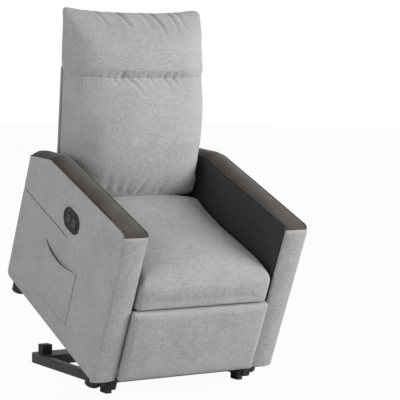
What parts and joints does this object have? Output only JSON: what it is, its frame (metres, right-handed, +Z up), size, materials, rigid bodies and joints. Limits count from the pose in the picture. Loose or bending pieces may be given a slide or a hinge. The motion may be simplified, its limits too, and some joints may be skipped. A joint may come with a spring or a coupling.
{
  "type": "lift recliner chair",
  "caption": "Powered lift recliner chair with grey padded back, seat and footrest, square arms with dark tops, side controls and pocket, tipped forward on its lift base.",
  "frame": {"origin": "on the floor at the middle of the raised chair's box", "axes": "+X to the right seen from the front, +Y to the chair's rear, +Z up"},
  "size_m": [0.709, 0.9624, 1.2812],
  "materials": {
    "frame_steel": "satin",
    "pin_steel": "satin",
    "tube_metal": "satin",
    "rod_chrome": "polished",
    "black_plastic": "matte",
    "button_plastic": "satin",
    "foot_rubber": "matte",
    "board": "matte",
    "grey_fabric": "matte",
    "dark_fabric": "matte",
    "charcoal_fabric": "matte"
  },
  "bodies": {
    "base": {"base_rear_member": "frame_steel", "base_side_tubes": "frame_steel", "base_front_tube": "frame_steel", "base_front_feet": "black_plastic", "rear_stop_posts": "black_plastic", "front_pivot_brackets": "frame_steel", "rear_pivot_brackets": "frame_steel", "motor_bracket": "frame_steel", "base_pivot_pins": "pin_steel", "motor_pin": "pin_steel"},
    "front_links": {"front_lift_links": "frame_steel", "lift_torque_tube": "frame_steel"},
    "rear_links": {"rear_lift_links": "frame_steel", "rear_link_pins": "pin_steel"},
    "actuator": {"actuator_gearbox": "black_plastic", "actuator_motor": "black_plastic", "actuator_tube": "tube_metal"},
    "rod": {"actuator_rod": "rod_chrome", "rod_end_pin": "pin_steel"},
    "chair": {"mechanism_plates": "frame_steel", "chair_pivot_pins": "pin_steel", "seat_cross_tubes": "frame_steel", "actuator_bracket": "frame_steel", "seat_side_rails": "board", "seat_cross_rails": "board", "seat_webbing": "charcoal_fabric", "seat_cushion": "grey_fabric", "arm_left_frame": "board", "arm_right_frame": "board", "arm_left_outer_cover": "grey_fabric", "arm_right_outer_cover": "grey_fabric", "arm_left_inner_cover": "charcoal_fabric", "arm_right_inner_cover": "charcoal_fabric", "arm_left_front_cover": "grey_fabric", "arm_right_front_cover": "grey_fabric", "arm_left_pad": "dark_fabric", "arm_right_pad": "dark_fabric", "side_pocket": "grey_fabric", "control_bezel": "black_plastic", "control_housing": "black_plastic", "chair_feet": "foot_rubber", "front_skids": "black_plastic", "rear_valance": "charcoal_fabric", "power_supply": "black_plastic", "power_inlet": "black_plastic", "back_hinge_plates": "frame_steel", "footrest_hinge_plates": "frame_steel", "hinge_pins": "pin_steel"},
    "back": {"back_stiles": "board", "back_rails": "board", "back_brackets": "frame_steel", "lumbar_cushion": "grey_fabric", "head_cushion": "grey_fabric", "back_rear_cover": "grey_fabric"},
    "footrest": {"footrest_board": "board", "footrest_pad": "grey_fabric", "footrest_brackets": "frame_steel"},
    "button_up": {"button_up": "button_plastic"},
    "button_down": {"button_down": "button_plastic"}
  },
  "joints": [
    {"name": "lift", "type": "hinge", "parent": "base", "child": "front_links", "pos_m": [0, -0.14376, 0.08], "axis": [-1, 0, 0], "range_deg": [0, 58.22]},
    {"name": "chair_tilt", "type": "hinge", "parent": "front_links", "child": "chair", "pos_m": [0, -0.09563, 0.1577], "axis": [1, 0, 0], "range_deg": [0, 34.23]},
    {"name": "rear_link_swing", "type": "hinge", "parent": "base", "child": "rear_links", "pos_m": [0, -0.03379, 0.09573], "axis": [-1, 0, 0], "range_deg": [0, 45.81]},
    {"name": "actuator_swing", "type": "hinge", "parent": "base", "child": "actuator", "pos_m": [0, 0.33624, 0.06], "axis": [1, 0, 0], "range_deg": [0, 1.65]},
    {"name": "rod_slide", "type": "slide", "parent": "actuator", "child": "rod", "axis": [0, 0.9784, -0.2067], "range_m": [0, 0.06678]},
    {"name": "recline", "type": "hinge", "parent": "chair", "child": "back", "pos_m": [0, 0.1136, 0.57924], "axis": [-1, 0, 0], "range_deg": [0, 42]},
    {"name": "footrest", "type": "hinge", "parent": "chair", "child": "footrest", "pos_m": [0, -0.38287, 0.36915], "axis": [-1, 0, 0], "range_deg": [0, 90.01]},
    {"name": "button_up", "type": "slide", "parent": "chair", "child": "button_up", "axis": [1, 0, 0], "range_m": [0, 0.002], "stiffness_N_per_m": 600, "springref_m": -0.0005},
    {"name": "button_down", "type": "slide", "parent": "chair", "child": "button_down", "axis": [1, 0, 0], "range_m": [0, 0.002], "stiffness_N_per_m": 600, "springref_m": -0.0005}
  ],
  "couplings": [
    {"joint": "chair_tilt", "follows": "lift", "ratio": 0.58778},
    {"joint": "rear_link_swing", "follows": "lift", "ratio": 0.78661},
    {"joint": "actuator_swing", "follows": "lift", "ratio": 0.028213},
    {"joint": "rod_slide", "follows": "lift", "m_per_rad": 0.065618},
    {"joint": "footrest", "follows": "recline", "ratio": 2.1429}
  ]
}
